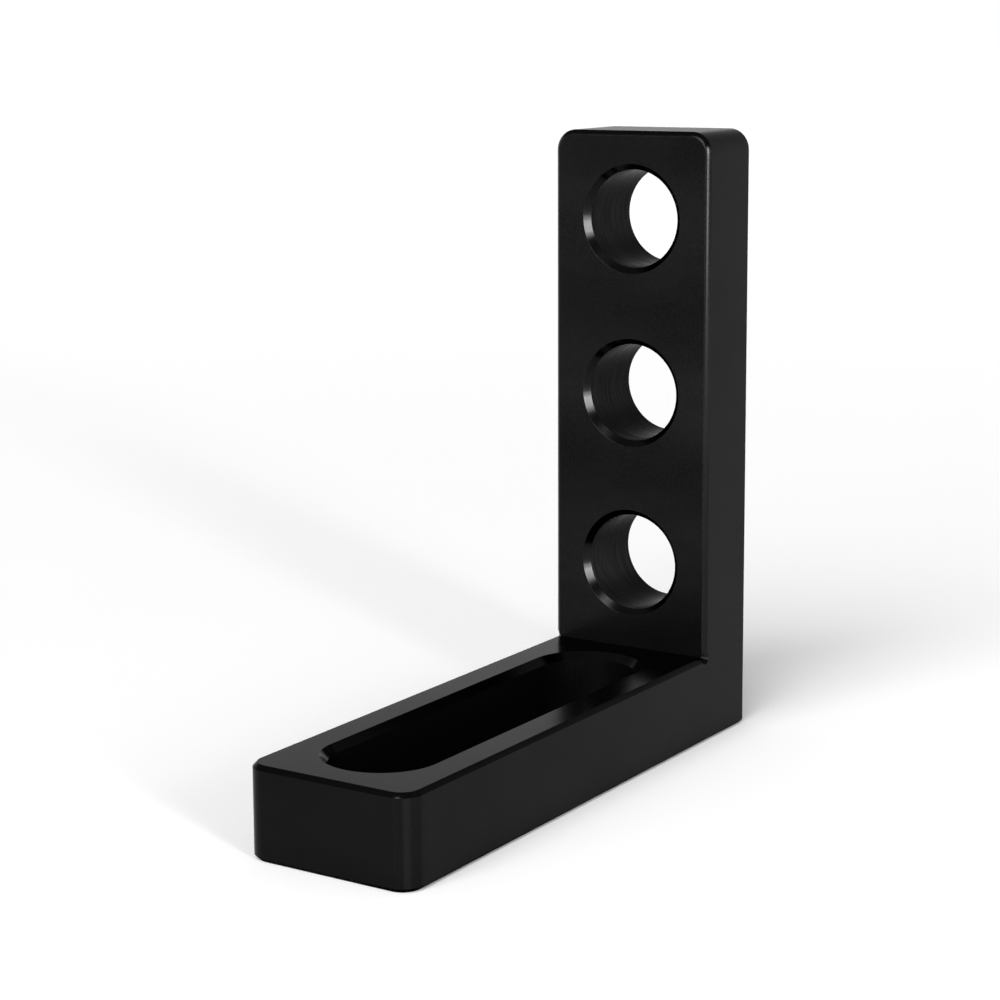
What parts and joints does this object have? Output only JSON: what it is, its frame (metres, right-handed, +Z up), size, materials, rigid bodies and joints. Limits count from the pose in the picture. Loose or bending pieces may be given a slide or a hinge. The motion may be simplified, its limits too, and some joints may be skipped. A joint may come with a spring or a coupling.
{
  "type": "welding table angle",
  "caption": "Solid steel stop and clamping angle for a bore-grid welding table: a slotted base leg and an upright leg with a column of clamping bores, all edges chamfered.",
  "frame": {"origin": "on the underside of the base, at the middle of the part's bounding box", "axes": "+X across the width; +Y along the base, from its free end to the back of the heel; +Z up along the upright"},
  "size_m": [0.05, 0.175, 0.175],
  "materials": {
    "blackened_steel": "ground and milled steel with a black nitrided or blackened surface, satin"
  },
  "bodies": {
    "root": {"angle_body": "blackened_steel"}
  },
  "joints": []
}
